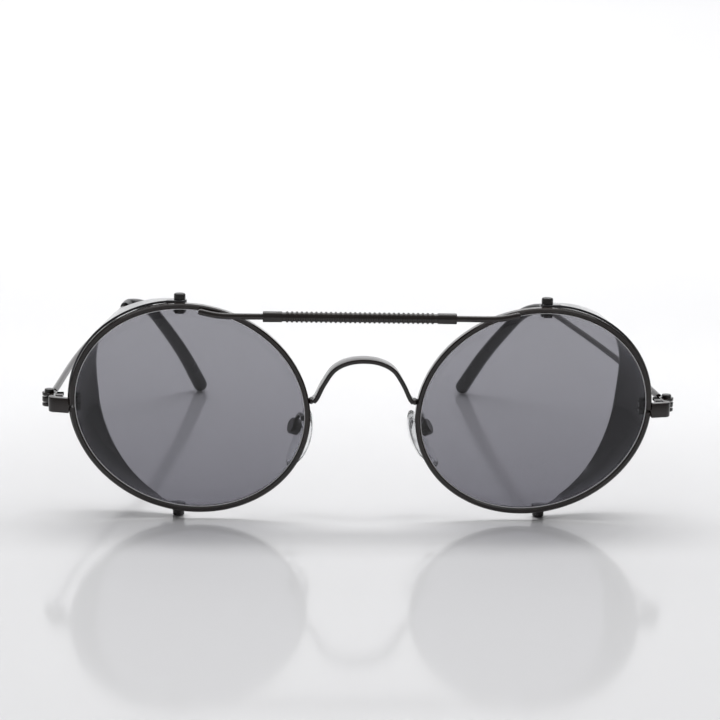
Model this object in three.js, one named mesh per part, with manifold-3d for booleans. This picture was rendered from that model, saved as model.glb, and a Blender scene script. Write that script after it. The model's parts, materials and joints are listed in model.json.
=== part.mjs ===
// Glacier glasses: round metal sunglasses with a brow bar and folding metal side shields.
// Millimetres. X runs across the face, Y back towards the ears, Z up from the table.
// Right-hand pieces (+X) are drawn once and mirrored for the left.

import * as THREE from 'three';
import { mergeVertices } from 'three/addons/utils/BufferGeometryUtils.js';
import Module from 'manifold-3d';

const wasm = await Module();
wasm.setup();

const degree = Math.PI / 180;

// Driving dimensions.

const fit = 0.3; // gap left between pieces that touch
const holeSides = 12; // flats round a screw or pin hole
const frontToOrigin = 58.6; // from the lenses back to the origin, under the middle of the whole

const rim = {
  offset: 35.7, // lens centre from the middle of the face
  height: 23.7, // lens centre above the table
  halfLength: 24.5, // to the middle of the wire, along the long axis
  halfHeight: 21.2,
  tilt: 17 * degree, // the temple end of the long axis stands higher
  width: 1.1, // of the wire, seen from the front
  depth: 2.0,
  chamfer: 0.25,
  grooveDepth: 0.5,
  grooveMouth: 1.3,
  grooveFloor: 0.5,
  split: 0.6, // gap between the two ends of the wire
  steps: 64,
};

const lens = { faceInset: 0.35, edge: 0.5, thickness: 1.4, flat: 0.2, points: 60 };

const bridge = {
  thickness: 0.93,
  depth: 4.0,
  front: -1.6,
  round: 0.2,
  crown: 34.2,
  spring: 25.5,
  springHalfWidth: 10.35,
  arch: [[1, 0], [0.93, 0.1], [0.8, 0.42], [0.6, 0.77], [0.32, 0.95]], // shares of half width and rise
  steps: 28,
};

const bar = {
  x: -1.2, // the bar and its sleeve sit a little to the left
  radius: 0.64,
  height: 43.5,
  y: -1.95,
  halfLength: 33.0,
  straight: 27.0,
  rise: 0.9,
  bendShare: 0.3, // of the rise, half way along the bent end
  sides: 10,
  steps: 30,
};

const sleeve = { radius: 1.2, bore: 0.94, halfLength: 19.9, core: 1.12, plainEnd: 4.0, sides: 24 };

const hinge = {
  x: 65.1,
  y: 5.9,
  z: 24.15,
  knuckleRadius: 1.5,
  leafHeight: 0.65, // each outer knuckle
  middleHeight: 1.0, // the temple's own knuckle
  tailWidth: 1.5,
  leafThickness: 1.1,
  leafFront: 2.6,
  leafOverlap: 0.5,
  hole: 0.8,
  screwRadius: 0.5,
  headRadius: 1.0,
  headHeight: 0.4,
  slot: 0.25,
};

const endPiece = {
  height: 3.1,
  thickness: 1.4,
  inner: 60.85,
  front: -0.9,
  sweep: 0.7, // how far it falls back before the corner
  outer: 64.9,
  corner: 1.6,
  cornerInside: 0.8,
  back: 4.0,
};

const block = {
  inner: 58.25,
  outer: 59.85,
  front: 1.3,
  back: 3.5,
  height: 2.6,
  screw: 0.4,
  hole: 0.66,
  head: 0.72,
  headHeight: 0.5,
  slot: 0.2,
};

// Shares of the head: how much is domed, how wide the top is, how deep the slot is.
const screwHead = { dome: 0.35, crown: 0.8, slotDepth: 0.4, sides: 16 };

const pivot = {
  x: 38.1,
  y: 2.8,
  tabRadius: 1.5,
  strapHalfWidth: 1.395,
  hole: 0.8,
  screwRadius: 0.5,
  headRadius: 1.2,
  slot: 0.35,
  lugRadius: 1.3,
  lugHalfWidth: 0.9,
  top: { lugLow: 43.3, lugHigh: 44.8, tabLow: 45.1, tabHigh: 46.0, headLow: 46.3, headHigh: 47.4 },
  bottom: { headLow: 0, headHigh: 0.75, lugLow: 1.05, lugHigh: 1.75, tabLow: 2.05, tabHigh: 2.7 },
};

const shield = {
  thickness: 0.5,
  front: 1.4, // just behind the rim
  depth: 11.6, // at its deepest, level with the hinge
  endDepth: 2.9, // beside each pivot
  reach: 78 * degree, // above and below the hinge line
  flare: 0.02, // stands this much wider than the rim at the front
  above: { rear: 1.02, lean: 0.21, leanReach: 56 * degree, leanPower: 2, end: 1.018 },
  below: { rear: 1.0, lean: 0.19, leanReach: 80 * degree, leanPower: 1.5, end: 1.017 },
  curl: 1.6, // how late the wall starts to lean in
  blend: 10 * degree, // the last stretch before each pivot, drawn in to a strap
  tabReach: 2.7,
  columns: 28,
  rows: 5,
};

const temple = {
  radius: 0.7,
  start: 5.2, // from the hinge axis
  bow: [-3.7, 40.0, 1.84],
  bendStart: [-10.6, 81.0, 3.72],
  bend: [[-12.8, 88.0, 4.0], [-16.6, 94.2, 1.7], [-20.4, 99.4, -3.8], [-25.4, 106.4, -12.8]],
  tip: [-30.3, 113.6, -23.7],
  sides: 10,
  steps: 36,
};

const sock = {
  mouth: 1.2,
  radius: 1.3,
  tipRadius: 1.85,
  bore: 1.0,
  wall: 4.0, // solid end past the wire
  length: 47.0,
  sides: 14,
  rings: 16,
  tipTurns: [25, 50, 70, 84], // rings round the half round tip, in degrees
  boreLead: 2.0, // the bore's tool starts this far outside the mouth
  boreSides: 8,
  boreSteps: 14,
};

const pad = {
  box: [14.0, 6.6, 18.4], // centre of the round box
  boxRadius: 1.75,
  boxDepth: 1.9,
  boxBack: 0.35,
  wall: 0.35,
  length: 13.2,
  width: 6.6,
  thickness: 1.9,
  narrow: 0.16, // the upper end is this much narrower
  edgeShare: 0.72, // outline of the faces against the outline at mid thickness
  bow: 1.1, // the ends bend away from the nose
  drop: 1.9, // pad centre below the pin
  offset: 2.65, // pad centre nearer the nose than the pin
  lean: { left: 18 * degree, right: 28 * degree }, // the bottom stands further from the nose
  splay: 18 * degree, // the back edge stands further from the nose
  pinRadius: 0.35,
  pinGap: 0.18,
  bossRadius: 0.75,
  bossBack: 0.25,
  roll: 166 * degree, // how far the rim of the cushion is rounded over
  armRadius: 0.45,
  armStart: [12.3, 1.4, 21.5],
  armBend: [[12.7, 3.4, 21.7], [13.0, 5.2, 21.3]],
  armRise: 0.48, // the arm ends this far above the box
  armSides: 8,
  armSteps: 20,
  boxSides: 20,
  sides: 24,
  layers: 6,
};

// Materials.

function metal(color, roughness) {
  return new THREE.MeshStandardMaterial({ color, roughness, metalness: 0.85 });
}

function clear(color, roughness, opacity) {
  return new THREE.MeshStandardMaterial({ color, roughness, transparent: true, opacity });
}

const paint = {
  frame: () => metal(0x2a292b, 0.42),
  shield: () => metal(0x161618, 0.16),
  screw: () => metal(0x1e1e20, 0.35),
  lens: () => clear(0x4a4b50, 0.05, 0.6),
  pad: () => clear(0xe8ebee, 0.12, 0.4),
  sock: () => new THREE.MeshStandardMaterial({ color: 0x141416, roughness: 0.45, metalness: 0 }),
};

// Mesh helpers.

function welded(geometry) {
  const bare = geometry.clone();
  bare.deleteAttribute('normal');
  bare.deleteAttribute('uv');
  return mergeVertices(bare, 1e-4);
}

function flipped(geometry) {
  const index = geometry.index.array;
  for (let i = 0; i < index.length; i += 3) {
    const first = index[i];
    index[i] = index[i + 1];
    index[i + 1] = first;
  }
  return geometry;
}

function signedVolume(geometry) {
  const point = geometry.attributes.position;
  const index = geometry.index.array;
  const a = new THREE.Vector3();
  const b = new THREE.Vector3();
  const c = new THREE.Vector3();
  let volume = 0;
  for (let i = 0; i < index.length; i += 3) {
    a.fromBufferAttribute(point, index[i]);
    b.fromBufferAttribute(point, index[i + 1]);
    c.fromBufferAttribute(point, index[i + 2]);
    volume += a.dot(b.cross(c)) / 6;
  }
  return volume;
}

function closed(geometry) {
  const solid = welded(geometry);
  return signedVolume(solid) < 0 ? flipped(solid) : solid;
}

function mirrored(geometry) {
  return flipped(geometry.clone().scale(-1, 1, 1));
}

function toManifold(geometry) {
  return new wasm.Manifold(new wasm.Mesh({
    numProp: 3,
    vertProperties: new Float32Array(geometry.attributes.position.array),
    triVerts: new Uint32Array(geometry.index.array),
  }));
}

function fromManifold(solid) {
  const mesh = solid.getMesh();
  const geometry = new THREE.BufferGeometry();
  const position = new THREE.BufferAttribute(new Float32Array(mesh.vertProperties), 3);
  geometry.setAttribute('position', position);
  geometry.setIndex(new THREE.BufferAttribute(new Uint32Array(mesh.triVerts), 1));
  return geometry;
}

function joined(...pieces) {
  const solids = pieces.map(toManifold);
  return fromManifold(solids.reduce((whole, next) => whole.add(next)));
}

function cut(body, ...tools) {
  const solids = tools.map(toManifold);
  return fromManifold(solids.reduce((whole, next) => whole.subtract(next), toManifold(body)));
}

// A rod or disc standing on Z.
function rod(radius, low, high, sides = 16) {
  const geometry = new THREE.CylinderGeometry(radius, radius, high - low, sides);
  geometry.rotateX(Math.PI / 2);
  geometry.translate(0, 0, (low + high) / 2);
  return closed(geometry);
}

// A box between two corners.
function brick(low, high) {
  const size = high.map((value, axis) => value - low[axis]);
  const geometry = new THREE.BoxGeometry(...size);
  geometry.translate(...high.map((value, axis) => (value + low[axis]) / 2));
  return closed(geometry);
}

// An outline in X and Y given height along Z.
function slab(shape, low, high) {
  const options = { depth: high - low, bevelEnabled: false, curveSegments: 6 };
  const geometry = new THREE.ExtrudeGeometry(shape, options);
  geometry.translate(0, 0, low);
  return closed(geometry);
}

function circle(radius, sides) {
  const points = [];
  for (let i = 0; i < sides; i += 1) {
    const angle = (i / sides) * 2 * Math.PI;
    points.push(new THREE.Vector2(radius * Math.cos(angle), radius * Math.sin(angle)));
  }
  return new THREE.Shape(points);
}

function sweep(path, section, steps) {
  return closed(new THREE.ExtrudeGeometry(section, { steps, bevelEnabled: false, extrudePath: path }));
}

function throughPoints(points, tension = 0.5) {
  const vectors = points.map((point) => new THREE.Vector3(...point));
  return new THREE.CatmullRomCurve3(vectors, false, 'catmullrom', tension);
}

// A turned piece: profile points are [radius, height], the axis is Z.
function turned(profile, sides = 32) {
  const points = profile.map(([radius, height]) => new THREE.Vector2(radius, height));
  const geometry = new THREE.LatheGeometry(points, sides);
  geometry.rotateX(Math.PI / 2);
  return closed(geometry);
}

// Closed loops of equal length joined in order, with a flat cap on the first and the last.
function loft(loops) {
  const count = loops[0].length;
  const position = loops.flat().flatMap((point) => point.toArray());
  const index = [];
  for (let row = 0; row < loops.length - 1; row += 1) {
    for (let i = 0; i < count; i += 1) {
      const next = (i + 1) % count;
      const here = row * count;
      const there = here + count;
      index.push(here + i, here + next, there + i);
      index.push(here + next, there + next, there + i);
    }
  }
  const last = (loops.length - 1) * count;
  for (let i = 1; i < count - 1; i += 1) {
    index.push(0, i + 1, i);
    index.push(last, last + i, last + i + 1);
  }
  const geometry = new THREE.BufferGeometry();
  geometry.setAttribute('position', new THREE.Float32BufferAttribute(position, 3));
  geometry.setIndex(index);
  return signedVolume(geometry) < 0 ? flipped(geometry) : geometry;
}

const part = new THREE.Group();

function add(parent, name, geometry, material) {
  const mesh = new THREE.Mesh(geometry, material);
  mesh.name = name;
  mesh.geometry.computeVertexNormals();
  parent.add(mesh);
  return mesh;
}

function group(x, y, z) {
  const holder = new THREE.Group();
  holder.position.set(x, y, z);
  part.add(holder);
  return holder;
}

// Front frame.

class EllipseArc extends THREE.Curve {
  constructor(halfLength, halfHeight, start, turn) {
    super();
    Object.assign(this, { halfLength, halfHeight, start, turn });
  }

  getPoint(t, target = new THREE.Vector3()) {
    const angle = this.start + this.turn * t;
    return target.set(this.halfLength * Math.cos(angle), 0, this.halfHeight * Math.sin(angle));
  }
}

// The wire is split level with the hinge, where the closing blocks clamp it.
const splitDirection = Math.atan2(hinge.z - rim.height, hinge.x - rim.offset) - rim.tilt;

function eyewire() {
  const up = Math.sin(splitDirection) / rim.halfHeight;
  const across = Math.cos(splitDirection) / rim.halfLength;
  const start = Math.atan2(up, across);
  const half = rim.split / 2 / rim.halfLength;
  const path = new EllipseArc(rim.halfLength, rim.halfHeight, start + half, 2 * Math.PI - 2 * half);
  const y = rim.depth / 2;
  const out = rim.width / 2;
  const { chamfer } = rim;
  const section = new THREE.Shape([
    new THREE.Vector2(-y, -out),
    new THREE.Vector2(-rim.grooveMouth / 2, -out),
    new THREE.Vector2(-rim.grooveFloor / 2, -out + rim.grooveDepth),
    new THREE.Vector2(rim.grooveFloor / 2, -out + rim.grooveDepth),
    new THREE.Vector2(rim.grooveMouth / 2, -out),
    new THREE.Vector2(y, -out),
    new THREE.Vector2(y, out - chamfer),
    new THREE.Vector2(y - chamfer, out),
    new THREE.Vector2(-y + chamfer, out),
    new THREE.Vector2(-y, out - chamfer),
  ]);
  return sweep(path, section, rim.steps);
}

function ellipse(halfLength, halfHeight, count) {
  const points = [];
  for (let i = 0; i < count; i += 1) {
    const angle = (i / count) * 2 * Math.PI;
    points.push(new THREE.Vector3(halfLength * Math.cos(angle), 0, halfHeight * Math.sin(angle)));
  }
  return points;
}

// Flat lens with a ridged edge that sits in the groove of the wire.
function lensDisc() {
  const inset = rim.width / 2 + lens.faceInset;
  const stations = [
    [-lens.thickness / 2, 0],
    [-lens.flat / 2, lens.edge],
    [lens.flat / 2, lens.edge],
    [lens.thickness / 2, 0],
  ];
  return loft(stations.map(([y, out]) => {
    const loop = ellipse(rim.halfLength - inset + out, rim.halfHeight - inset + out, lens.points);
    return loop.map((point) => point.setY(y));
  }));
}

// Flat strip on edge, arched over the nose.
function bridgeStrip() {
  const half = bridge.springHalfWidth;
  const rise = bridge.crown - bridge.spring;
  const right = bridge.arch.map(([across, up]) => [half * across, bridge.spring + rise * up]);
  const left = right.map(([x, z]) => [-x, z]);
  const line = [...left, [0, bridge.crown], ...right.reverse()];
  const y = bridge.front + bridge.depth / 2;
  const path = throughPoints(line.map(([x, z]) => [x, y, z]));
  const wide = bridge.depth / 2;
  const thick = bridge.thickness / 2;
  const { round } = bridge;
  const section = new THREE.Shape([
    new THREE.Vector2(-wide, -thick + round),
    new THREE.Vector2(-wide + round, -thick),
    new THREE.Vector2(wide - round, -thick),
    new THREE.Vector2(wide, -thick + round),
    new THREE.Vector2(wide, thick - round),
    new THREE.Vector2(wide - round, thick),
    new THREE.Vector2(-wide + round, thick),
    new THREE.Vector2(-wide, thick - round),
  ]);
  return sweep(path, section, bridge.steps);
}

function browBar() {
  const ends = [
    [bar.straight, 0],
    [(bar.straight + bar.halfLength) / 2, bar.rise * bar.bendShare],
    [bar.halfLength, bar.rise],
  ];
  const right = ends.map(([x, up]) => [x, bar.y, bar.height + up]);
  const left = ends.map(([x, up]) => [-x, bar.y, bar.height + up]).reverse();
  const inner = [[-sleeve.halfLength, bar.y, bar.height], [sleeve.halfLength, bar.y, bar.height]];
  return sweep(throughPoints([...left, ...inner, ...right]), circle(bar.radius, bar.sides), bar.steps);
}

// Sleeve with a plain collar at each end and a waist between them.
function browSleeve() {
  const half = sleeve.halfLength;
  const shoulder = half - sleeve.plainEnd;
  const step = sleeve.radius - sleeve.core;
  const profile = [
    [sleeve.bore, -half],
    [sleeve.radius, -half],
    [sleeve.radius, -shoulder],
    [sleeve.core, -shoulder + step],
    [sleeve.core, shoulder - step],
    [sleeve.radius, shoulder],
    [sleeve.radius, half],
    [sleeve.bore, half],
    [sleeve.bore, -half],
  ];
  const geometry = turned(profile, sleeve.sides);
  geometry.rotateY(Math.PI / 2);
  return geometry;
}

// Strip that leaves the rim, sweeps back a little and turns towards the ear.
function endPieceStrip() {
  const { inner, front, outer, thickness, corner, cornerInside } = endPiece;
  const face = front + endPiece.sweep; // front of the strip where it turns
  const leg = outer - thickness;
  const shape = new THREE.Shape();
  shape.moveTo(inner, front);
  shape.lineTo(outer - corner, face);
  shape.quadraticCurveTo(outer, face, outer, face + corner);
  shape.lineTo(outer, endPiece.back);
  shape.lineTo(leg, endPiece.back);
  shape.lineTo(leg, face + thickness + cornerInside);
  shape.quadraticCurveTo(leg, face + thickness, leg - cornerInside, face + thickness);
  shape.lineTo(inner, front + thickness);
  const half = endPiece.height / 2;
  return slab(shape, hinge.z - half, hinge.z + half);
}

const knuckleBase = hinge.middleHeight / 2 + fit;
const knuckleTop = knuckleBase + hinge.leafHeight;

function hingeHole() {
  return rod(hinge.hole, -2 * knuckleTop, 2 * knuckleTop, holeSides);
}

// Two outer knuckles on a small plate brazed inside the end piece.
function frontHinge() {
  const plateOuter = endPiece.outer - endPiece.thickness - fit - hinge.x;
  const plateInner = plateOuter - hinge.leafThickness;
  const plateFront = hinge.leafFront - hinge.y;
  const plateBack = -hinge.knuckleRadius - fit;
  const behindStrip = endPiece.back + fit - hinge.y;
  const pieces = [brick([plateInner, plateFront, -knuckleTop], [plateOuter, plateBack, knuckleTop])];
  for (const [low, high] of [[knuckleBase, knuckleTop], [-knuckleTop, -knuckleBase]]) {
    pieces.push(rod(hinge.knuckleRadius, low, high));
    pieces.push(brick([plateInner, plateBack - hinge.leafOverlap, low], [plateOuter, 0, high]));
    pieces.push(brick([plateInner, behindStrip, low], [0, 0, high]));
  }
  return cut(joined(...pieces), hingeHole());
}

// Half of the block that clamps the split rim, drilled for the rim screw.
function closingBlock(low, high) {
  const body = brick([block.inner, block.front, low], [block.outer, block.back, high]);
  const hole = rod(block.hole, low - 1, high + 1, holeSides);
  hole.translate((block.inner + block.outer) / 2, (block.front + block.back) / 2, 0);
  return cut(body, hole);
}

// Turned screw with a domed head and a screwdriver slot. headDown puts the head at the low end.
function screw(headRadius, headHeight, shankRadius, shankLength, slot, headDown = false) {
  const dome = headHeight * screwHead.dome;
  const profile = [
    [0, 0],
    [shankRadius, 0],
    [shankRadius, shankLength],
    [headRadius, shankLength],
    [headRadius, shankLength + headHeight - dome],
    [headRadius * screwHead.crown, shankLength + headHeight],
    [0, shankLength + headHeight],
  ];
  const body = turned(profile, screwHead.sides);
  const top = shankLength + headHeight;
  const floor = top - headHeight * screwHead.slotDepth;
  const groove = brick([-headRadius * 2, -slot / 2, floor], [headRadius * 2, slot / 2, top + 1]);
  const finished = cut(body, groove);
  if (headDown) finished.rotateX(Math.PI);
  return finished;
}

// Small boss brazed behind the rim; the pivot screw runs through it.
function lug(low, high) {
  const boss = rod(pivot.lugRadius, low, high);
  const half = pivot.lugHalfWidth;
  const foot = brick([-half, -pivot.y + rim.depth / 2 + fit, low], [half, 0, high]);
  return cut(joined(boss, foot), rod(pivot.hole, low - 1, high + 1, holeSides));
}

// Side shield.

function smooth(t) {
  const clamped = Math.min(Math.max(t, 0), 1);
  return clamped * clamped * (3 - 2 * clamped);
}

// Distance from the lens centre to the outside of the rim, in a given direction.
function rimRadius(angle) {
  const length = rim.halfLength + rim.width / 2;
  const height = rim.halfHeight + rim.width / 2;
  return 1 / Math.hypot(Math.cos(angle - rim.tilt) / length, Math.sin(angle - rim.tilt) / height);
}

// A point of the wall: back is 0 at the front edge and 1 at the rear edge.
function wallPoint(angle, back, inset) {
  const level = Math.cos((angle / shield.reach) * (Math.PI / 2));
  const depth = shield.endDepth + (shield.depth - shield.endDepth) * level;
  const half = angle > 0 ? shield.above : shield.below;
  const nearHinge = Math.min(Math.abs(angle) / half.leanReach, 1) * (Math.PI / 2);
  const rear = half.rear - half.lean * Math.cos(nearHinge) ** half.leanPower;
  const curve = back ** shield.curl;
  const open = (1 + shield.flare) * (1 - curve) + rear * curve;
  const strap = smooth((Math.abs(angle) - (shield.reach - shield.blend)) / shield.blend);
  const radius = rimRadius(angle) * (open * (1 - strap) + half.end * strap) - inset;
  return new THREE.Vector3(
    rim.offset - pivot.x + radius * Math.cos(angle),
    shield.front - pivot.y + depth * back,
    rim.height + radius * Math.sin(angle),
  );
}

function shieldWall() {
  const loops = [];
  for (let column = 0; column <= shield.columns; column += 1) {
    const angle = shield.reach * (1 - (2 * column) / shield.columns);
    const outside = [];
    const inside = [];
    for (let row = 0; row <= shield.rows; row += 1) {
      outside.push(wallPoint(angle, row / shield.rows, 0));
      inside.push(wallPoint(angle, 1 - row / shield.rows, shield.thickness));
    }
    loops.push([...outside, ...inside]);
  }
  return loft(loops);
}

// Flat eye on the pivot screw, running out to the end of the wall.
function shieldTab(low, high) {
  const half = pivot.strapHalfWidth;
  const strip = brick([0, -half, low], [shield.tabReach, half, high]);
  return joined(rod(pivot.tabRadius, low, high), strip);
}

function sideShield() {
  const { top, bottom } = pivot;
  const body = joined(
    shieldWall(),
    shieldTab(top.tabLow, top.tabHigh),
    shieldTab(bottom.tabLow, bottom.tabHigh),
  );
  const holes = [[top.tabLow, top.tabHigh], [bottom.tabLow, bottom.tabHigh]].map(
    ([low, high]) => rod(pivot.hole, low - fit, high + fit, holeSides),
  );
  return cut(body, ...holes);
}

// Temple and ear sock.

function templePath() {
  const direction = new THREE.Vector3(...temple.bow).normalize();
  const start = direction.multiplyScalar(temple.start).toArray();
  return throughPoints([start, temple.bow, temple.bendStart, ...temple.bend, temple.tip]);
}

class PathStretch extends THREE.Curve {
  constructor(path, from, to) {
    super();
    Object.assign(this, { path, from, to });
  }

  getPoint(t, target = new THREE.Vector3()) {
    return target.copy(this.path.getPointAt(this.from + (this.to - this.from) * t));
  }
}

const wirePath = templePath();
const wireLength = wirePath.getLength();
const coreEnd = 1 - sock.wall / wireLength;

function templeWire() {
  const core = new PathStretch(wirePath, 0, coreEnd);
  return sweep(core, circle(temple.radius, temple.sides), temple.steps);
}

// Rings of the sock: it thickens along the wire, then ends in a half round tip.
function earSock() {
  const from = 1 - sock.length / wireLength;
  const frameCount = 200;
  const frames = wirePath.computeFrenetFrames(frameCount, false);
  const tipStart = 1 - sock.tipRadius / wireLength;
  const stations = [[from, sock.mouth]];
  for (let i = 1; i <= sock.rings; i += 1) {
    const share = i / sock.rings;
    const radius = sock.radius + (sock.tipRadius - sock.radius) * share;
    stations.push([from + (tipStart - from) * share, radius]);
  }
  for (const turn of sock.tipTurns) {
    const at = tipStart + (1 - tipStart) * Math.sin(turn * degree);
    stations.push([at, sock.tipRadius * Math.cos(turn * degree)]);
  }
  const loops = stations.map(([at, radius]) => {
    const centre = wirePath.getPointAt(Math.min(at, 1));
    const frame = Math.min(Math.round(at * frameCount), frameCount);
    const loop = [];
    for (let i = 0; i < sock.sides; i += 1) {
      const angle = (i / sock.sides) * 2 * Math.PI;
      const point = centre.clone();
      point.addScaledVector(frames.normals[frame], radius * Math.cos(angle));
      point.addScaledVector(frames.binormals[frame], radius * Math.sin(angle));
      loop.push(point);
    }
    return loop;
  });
  const boreFrom = from - sock.boreLead / wireLength;
  const boreEnd = coreEnd + fit / wireLength;
  const borePath = new PathStretch(wirePath, boreFrom, boreEnd);
  const bore = sweep(borePath, circle(sock.bore, sock.boreSides), sock.boreSteps);
  return cut(loft(loops), bore);
}

// Middle knuckle with a flat tail that the wire is brazed into.
function templeHinge() {
  const half = hinge.middleHeight / 2;
  const knuckle = rod(hinge.knuckleRadius, -half, half);
  const direction = Math.atan2(-temple.bow[0], temple.bow[1]);
  const wide = hinge.tailWidth / 2;
  const tail = brick([-wide, 0, -half], [wide, temple.start - fit, half]);
  tail.rotateZ(direction);
  return cut(joined(knuckle, tail), hingeHole());
}

// Nose pads.

function padLean(side) {
  return side > 0 ? pad.lean.right : pad.lean.left;
}

// Pad frame: X points away from the nose, Z up along the pad, Y back.
function padGroup(side) {
  const [x, y, z] = pad.box;
  const holder = group(side * x, y, z);
  holder.rotation.set(0, -side * padLean(side), -side * pad.splay, 'ZYX');
  return holder;
}

function padCushion() {
  const loops = [];
  const half = pad.length / 2;
  for (let i = 0; i <= pad.layers; i += 1) {
    const turn = (i / pad.layers - 0.5) * pad.roll;
    const scale = pad.edgeShare + (1 - pad.edgeShare) * Math.cos(turn);
    const loop = [];
    for (let j = 0; j < pad.sides; j += 1) {
      const angle = (j / pad.sides) * 2 * Math.PI;
      const width = (pad.width / 2) * scale * (1 - pad.narrow * Math.sin(angle)) * Math.cos(angle);
      const along = half * scale * Math.sin(angle);
      const x = (pad.thickness / 2) * Math.sin(turn) - pad.offset + pad.bow * (along / half) ** 2;
      loop.push(new THREE.Vector3(x, width, along - pad.drop));
    }
    loops.push(loop);
  }
  return loft(loops);
}

// The clear pad with its boss, drilled for the pin.
function nosePad() {
  const boss = rod(pad.bossRadius, -pad.offset + pad.thickness / 4, pad.bossBack);
  boss.rotateY(Math.PI / 2);
  const pinHole = rod(pad.pinRadius + pad.pinGap, -pad.boxRadius, pad.boxRadius, holeSides);
  pinHole.rotateX(Math.PI / 2);
  return cut(joined(padCushion(), boss), pinHole);
}

// Round open box that faces the nose, drilled across for the pin.
function padBox() {
  const half = pad.boxDepth / 2;
  const cup = rod(pad.boxRadius, -half, half, pad.boxSides);
  const hollow = rod(pad.boxRadius - pad.wall, -half - 1, half - pad.boxBack, pad.boxSides);
  const body = cut(cup, hollow);
  body.rotateY(Math.PI / 2);
  const pinHole = rod(pad.pinRadius + pad.pinGap, -2 * pad.boxRadius, 2 * pad.boxRadius, holeSides);
  pinHole.rotateX(Math.PI / 2);
  return cut(body, pinHole);
}

function padPin() {
  const half = pad.boxRadius + fit / 2;
  const pin = rod(pad.pinRadius, -half, half, holeSides);
  pin.rotateX(Math.PI / 2);
  return pin;
}

// Bent wire from the back of the rim down onto the top of the pad box.
function padArm(side) {
  const turn = new THREE.Euler(0, -padLean(side), -pad.splay, 'ZYX');
  const up = new THREE.Vector3(0, 0, pad.boxRadius + pad.armRise).applyEuler(turn);
  const end = up.add(new THREE.Vector3(...pad.box));
  const line = [pad.armStart, ...pad.armBend, end.toArray()];
  return sweep(throughPoints(line), circle(pad.armRadius, pad.armSides), pad.armSteps);
}

// Assembly.

function addSided(parent, name, side, geometry, material) {
  const tag = side > 0 ? 'R' : 'L';
  return add(parent, `${name}_${tag}`, side > 0 ? geometry : mirrored(geometry), material);
}

// The two halves of the block and the screw through them.
function addClosingBlock(side) {
  const half = block.height / 2;
  const gap = fit / 2;
  const upper = closingBlock(hinge.z + gap, hinge.z + half);
  const lower = closingBlock(hinge.z - half, hinge.z - gap);
  addSided(part, 'closing_block_top', side, upper, paint.frame());
  addSided(part, 'closing_block_bottom', side, lower, paint.frame());
  const shape = screw(block.head, block.headHeight, block.screw, block.height, block.slot);
  addSided(part, 'rim_screw', side, shape, paint.screw()).position.set(
    side * (block.inner + block.outer) / 2,
    (block.front + block.back) / 2,
    hinge.z + half + fit - block.height,
  );
}

function addPivotScrews(pivotAxis, side) {
  const { top, bottom, headRadius, screwRadius, slot } = pivot;
  const topShank = top.headLow - top.lugLow;
  const topShape = screw(headRadius, top.headHigh - top.headLow, screwRadius, topShank, slot);
  const topMesh = addSided(pivotAxis, 'top_pivot_screw', side, topShape, paint.screw());
  topMesh.position.z = top.headLow - topShank;
  const bottomShank = bottom.tabHigh - bottom.headHigh;
  const bottomHead = bottom.headHigh - bottom.headLow;
  const bottomShape = screw(headRadius, bottomHead, screwRadius, bottomShank, slot, true);
  const bottomMesh = addSided(pivotAxis, 'bottom_pivot_screw', side, bottomShape, paint.screw());
  bottomMesh.position.z = bottom.headHigh + bottomShank;
}

function addHingeScrew(hingeAxis, side) {
  const length = 2 * knuckleTop;
  const { headRadius, headHeight, screwRadius, slot } = hinge;
  const shape = screw(headRadius, headHeight, screwRadius, length, slot);
  const mesh = addSided(hingeAxis, 'hinge_screw', side, shape, paint.screw());
  mesh.position.z = knuckleTop + fit - length;
}

add(part, 'bridge', bridgeStrip(), paint.frame());
add(part, 'brow_bar', browBar(), paint.frame()).position.x = bar.x;
const sleeveMesh = add(part, 'brow_sleeve', browSleeve(), paint.frame());
sleeveMesh.position.set(bar.x, bar.y, bar.height);

for (const side of [-1, 1]) {
  const rimFrame = group(side * rim.offset, 0, rim.height);
  rimFrame.rotation.y = -side * rim.tilt;
  addSided(rimFrame, 'eyewire', side, eyewire(), paint.frame());
  addSided(rimFrame, 'lens', side, lensDisc(), paint.lens());

  addSided(part, 'end_piece', side, endPieceStrip(), paint.frame());

  addClosingBlock(side);

  const pivotAxis = group(side * pivot.x, pivot.y, 0);
  const { top, bottom } = pivot;
  addSided(pivotAxis, 'side_shield', side, sideShield(), paint.shield());
  addSided(pivotAxis, 'top_lug', side, lug(top.lugLow, top.lugHigh), paint.frame());
  addSided(pivotAxis, 'bottom_lug', side, lug(bottom.lugLow, bottom.lugHigh), paint.frame());
  addPivotScrews(pivotAxis, side);

  const hingeAxis = group(side * hinge.x, hinge.y, hinge.z);
  addHingeScrew(hingeAxis, side);
  addSided(hingeAxis, 'front_hinge', side, frontHinge(), paint.frame());
  addSided(hingeAxis, 'temple_hinge', side, templeHinge(), paint.frame());
  addSided(hingeAxis, 'temple', side, templeWire(), paint.frame());
  addSided(hingeAxis, 'ear_sock', side, earSock(), paint.sock());

  const padFrame = padGroup(side);
  addSided(padFrame, 'nose_pad', side, nosePad(), paint.pad());
  addSided(padFrame, 'pad_box', side, padBox(), paint.frame());
  addSided(padFrame, 'pad_pin', side, padPin(), paint.screw());
  addSided(part, 'pad_arm', side, padArm(side), paint.frame());
}

part.position.y = -frontToOrigin;

export default part;
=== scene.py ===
import json
import math
import bmesh
import bpy
from mathutils import Euler, Matrix, Vector


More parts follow.
